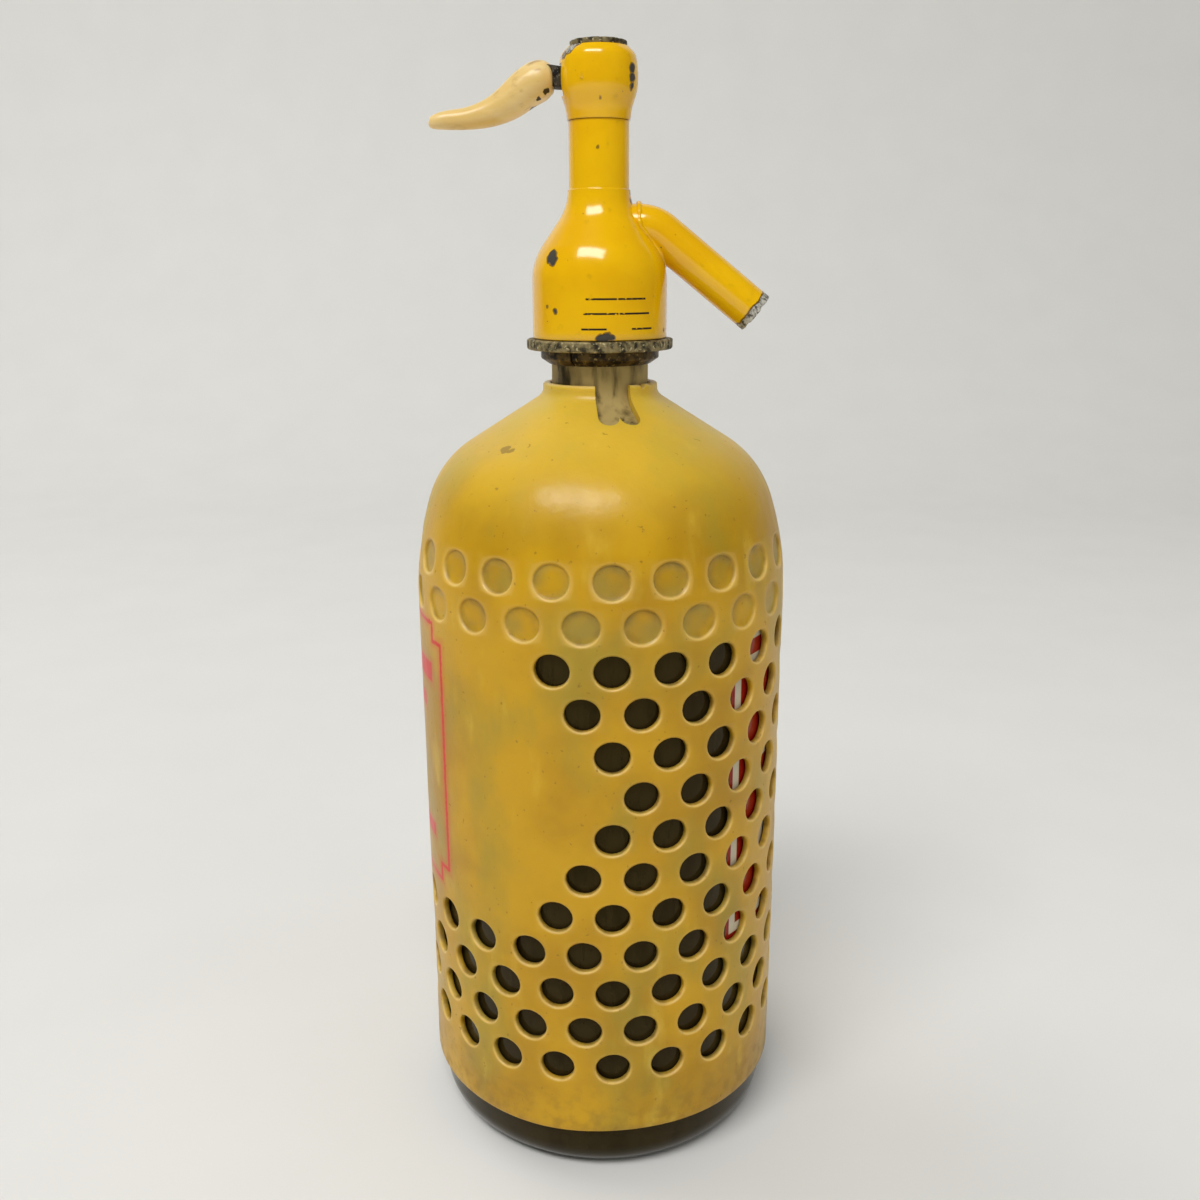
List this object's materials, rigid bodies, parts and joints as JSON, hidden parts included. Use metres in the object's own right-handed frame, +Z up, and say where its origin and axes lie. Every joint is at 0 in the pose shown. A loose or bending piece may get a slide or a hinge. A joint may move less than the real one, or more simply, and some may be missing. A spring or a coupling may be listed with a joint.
{
  "type": "soda siphon",
  "caption": "Lever-headed soda siphon: a thick glass bottle in a perforated plastic jacket, with a painted metal head, a horn-shaped lever and a bent spout.",
  "frame": {"origin": "centre of the foot ring, on the surface that the siphon stands on", "axes": "+Z up along the bottle's axis, -X towards the lever's grip, +X towards the spout"},
  "size_m": [0.105, 0.105, 0.306],
  "materials": {
    "glass": "clear dark green glass",
    "sleeve_plastic": "waxy translucent yellow polyethylene",
    "head_paint": "gloss yellow paint, chipped",
    "collar_brass": "dull, stained",
    "ring_zinc": "grey cast metal, tarnished",
    "cap_zinc": "tarnished",
    "lever_zinc": "corroded grey metal",
    "ivory_plastic": "semi-gloss aged ivory plastic",
    "tinned_brass": "plain",
    "steel": "plain",
    "rubber": "matte",
    "dip_plastic": "milky plastic"
  },
  "bodies": {
    "siphon": {"bottle": "glass", "sleeve": "sleeve_plastic", "split_collar_front": "collar_brass", "split_collar_rear": "collar_brass", "lock_ring": "ring_zinc", "head_body": "head_paint", "mouth_gasket": "rubber", "tube_ferrule": "tinned_brass", "dip_tube": "dip_plastic", "valve_seat": "tinned_brass", "packing_washer": "rubber", "gland_nut": "tinned_brass", "lever_housing": "head_paint", "housing_cap": "cap_zinc", "pivot_pin": "steel", "spout_tube": "head_paint", "valve_spring": "steel"},
    "valve": {"valve_stem": "tinned_brass", "valve_washer": "rubber", "washer_nut": "tinned_brass", "spring_seat": "tinned_brass", "stem_nut": "tinned_brass"},
    "lever": {"lever_arm": "lever_zinc", "lever_grip": "ivory_plastic"}
  },
  "joints": [
    {"name": "lever_press", "type": "hinge", "parent": "siphon", "child": "lever", "pos_m": [-0.0038, 0, 0.2965], "axis": [0, -1, 0], "range_deg": [0, 16], "stiffness_Nm_per_rad": 0.004, "springref_deg": -17.19},
    {"name": "valve_lift", "type": "slide", "parent": "siphon", "child": "valve", "axis": [0, 0, 1], "range_m": [0, 0.00106], "stiffness_N_per_m": 100, "springref_m": -0.003, "deforming": ["valve_spring"]}
  ],
  "couplings": [
    {"joint": "lever_press", "follows": "valve_lift", "rad_per_m": 263.16}
  ]
}
